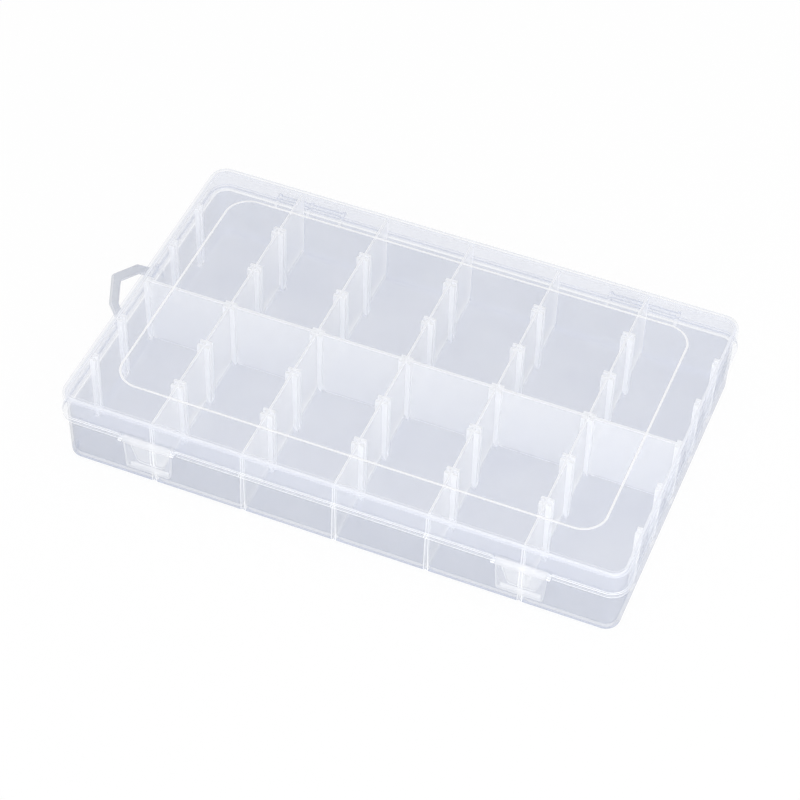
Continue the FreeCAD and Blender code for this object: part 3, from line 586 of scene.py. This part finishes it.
class BOX_OT_finish_dividers(Operator):
    """Finish the loose dividers: frosted plates with painted highlights on their top and bottom
    edges
    """
    bl_idname = "compartment_box.finish_dividers"
    bl_label = "Finish dividers"

    def execute(self, context):
        _, look, shine = settings(context)
        low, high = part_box(DIVIDERS[0])

        def parts(w, place, facing):
            # Painted highlights on the top and bottom edges.
            top = w.over(place["Z"], high.z - shine.divider_line)
            bottom = w.under(place["Z"], low.z + shine.divider_foot_line)
            edge = w.biggest(top, w.product(bottom, shine.divider_foot_shine))
            return look.divider_haze, solid(look.frost_tint), edge

        material = plastic("Divider plastic", look, parts)
        for node in DIVIDERS:
            dress(node, material)
        return {"FINISHED"}


class BOX_OT_finish_latches(Operator):
    """Finish the two latches: clear plates with painted highlights on their edges"""
    bl_idname = "compartment_box.finish_latches"
    bl_label = "Finish latches"

    def execute(self, context):
        sizes, look, shine = settings(context)

        def parts(w, place, facing):
            # Painted highlights on the plate's edges and on the barrel.
            rim = w.under(w.math("ABSOLUTE", facing["Y"]), SIDE)
            barrel = w.over(place["Z"], sizes.ledge_top - sizes.ledge)
            edge = w.biggest(w.product(rim, w.rest(barrel), shine.latch_shine),
                             w.product(barrel, shine.barrel_shine))
            return look.latch_haze, solid(look.frost_tint), edge

        material = plastic("Latch plastic", look, parts)
        for node in LATCHES:
            dress(node, material)
        return {"FINISHED"}


class BOX_OT_finish_loop(Operator):
    """Finish the hanging loop: a milky band with painted highlights on its edges, painted shade in
    its tint, and pale roots
    """
    bl_idname = "compartment_box.finish_loop"
    bl_label = "Finish loop"

    def execute(self, context):
        sizes, look, shine = settings(context)

        def parts(w, place, facing):
            # Painted highlights on the loop's edges, where the face turns away from its flat.
            slant = w.math("MULTIPLY", facing["X"], math.sin(sizes.loop_tilt))
            rise = w.math("MULTIPLY_ADD", facing["Z"], math.cos(sizes.loop_tilt), slant)
            edge = w.product(w.under(w.math("ABSOLUTE", rise), LOOP_SIDE), shine.loop_shine)
            # The loop takes the front tint with its painted shade; its roots are frosted.
            root = w.over(place["X"], -sizes.loop_root)
            haze = w.mix_values(root, look.loop_haze, look.fitting_haze)
            return haze, w.mix(root, solid(look.front_tint), solid(look.frost_tint)), edge

        dress("hang_loop", plastic("Loop plastic", look, parts))
        return {"FINISHED"}


class BOX_OT_set_stage(Operator):
    """Set the floor, the light and the camera"""
    bl_idname = "compartment_box.set_stage"
    bl_label = "Set stage"

    def execute(self, context):
        studio = context.scene.studio_look
        self.lay_floor(context, studio)
        self.set_light(context, studio)
        self.set_camera(context, studio)
        context.scene.view_settings.view_transform = "Standard"
        context.scene.cycles.transparent_max_bounces = studio.layers
        return {"FINISHED"}

    def lay_floor(self, context, studio):
        """A matt floor that shows nearly white and keeps a faint shadow."""
        mesh = bpy.data.meshes.new("Floor")
        bm = bmesh.new()
        bmesh.ops.create_grid(bm, x_segments=1, y_segments=1, size=studio.floor_half)
        bm.to_mesh(mesh)
        bm.free()
        floor = bpy.data.objects.new("Floor", mesh)
        context.scene.collection.objects.link(floor)
        material = bpy.data.materials.new("Pale floor")
        material.use_nodes = True
        shader = material.node_tree.nodes["Principled BSDF"]
        shader.inputs["Base Color"].default_value = solid(studio.floor_tint)
        shader.inputs["Roughness"].default_value = 1.0
        shader.inputs["Specular IOR Level"].default_value = 0.0
        w = Wiring(material.node_tree)
        rays = w.add("ShaderNodeLightPath").outputs
        seen = w.biggest(rays["Is Camera Ray"], rays["Is Glossy Ray"],
                         rays["Is Transmission Ray"])
        glow = w.add("ShaderNodeEmission")
        w.surface(w.product(seen, studio.floor_glow), shader.outputs["BSDF"],
                  glow.outputs["Emission"])
        mesh.materials.append(material)
        floor.location.z = -studio.floor_drop

    def set_light(self, context, studio):
        """An even white sky and two softboxes."""
        world = bpy.data.worlds.new("Even light")
        world.use_nodes = True
        sky = world.node_tree.nodes["Background"]
        sky.inputs["Color"].default_value = (1.0, 1.0, 1.0, 1.0)
        sky.inputs["Strength"].default_value = studio.sky
        context.scene.world = world
        for name, place, watts in (("Overhead softbox", studio.overhead_place, studio.overhead),
                                   ("Front softbox", studio.front_place, studio.front)):
            self.hang_lamp(context, studio, name, place, watts)

    def hang_lamp(self, context, studio, name, place, watts):
        """A wide softbox that faces the box."""
        lamp = bpy.data.lights.new(name, "AREA")
        lamp.shape = "RECTANGLE"
        lamp.size, lamp.size_y = studio.softbox_length, studio.softbox_width
        lamp.energy = watts
        held = bpy.data.objects.new(name, lamp)
        held.location = place
        held.rotation_euler = (-held.location).to_track_quat("-Z", "Y").to_euler()
        context.scene.collection.objects.link(held)

    def set_camera(self, context, studio):
        """A camera at the photograph's viewing angle."""
        turn = Matrix.Rotation(studio.azimuth, 3, "Z")
        tip = Matrix.Rotation(math.pi / 2 - studio.elevation, 3, "X")
        roll = Matrix.Rotation(studio.roll, 3, "Z")
        data = bpy.data.cameras.new("Camera")
        data.lens = studio.lens
        camera = bpy.data.objects.new("Camera", data)
        camera.matrix_world = Matrix.Translation(studio.eye) @ (turn @ tip @ roll).to_4x4()
        context.scene.collection.objects.link(camera)
        context.scene.camera = camera


class BOX_PT_panel(Panel):
    """Lists the box's finishes and its stage"""
    bl_label = "Compartment Box"
    bl_space_type = "VIEW_3D"
    bl_region_type = "UI"
    bl_category = "Compartment Box"

    def draw(self, context):
        for operator in OPERATORS:
            self.layout.operator(operator.bl_idname)
        for name in GROUPS:
            values = getattr(context.scene, name)
            column = self.layout.column()
            for key in values.bl_rna.properties.keys():
                if key not in {"rna_type", "name"}:
                    column.prop(values, key)


OPERATORS = (BOX_OT_finish_tray, BOX_OT_finish_lid, BOX_OT_finish_dividers,
             BOX_OT_finish_latches, BOX_OT_finish_loop, BOX_OT_set_stage)
GROUPS = {"box_sizes": BoxSizes, "plastic_look": PlasticLook, "edge_look": HighlightLook,
          "studio_look": StudioLook}


def register():
    for kind in (*GROUPS.values(), *OPERATORS, BOX_PT_panel):
        bpy.utils.register_class(kind)
    for name, kind in GROUPS.items():
        setattr(bpy.types.Scene, name, PointerProperty(type=kind))


def unregister():
    for name in GROUPS:
        delattr(bpy.types.Scene, name)
    for kind in reversed((*GROUPS.values(), *OPERATORS, BOX_PT_panel)):
        bpy.utils.unregister_class(kind)


def main():
    register()
    for operator in OPERATORS:
        group, name = operator.bl_idname.split(".")
        getattr(getattr(bpy.ops, group), name)()


if __name__ == "__main__":
    main()
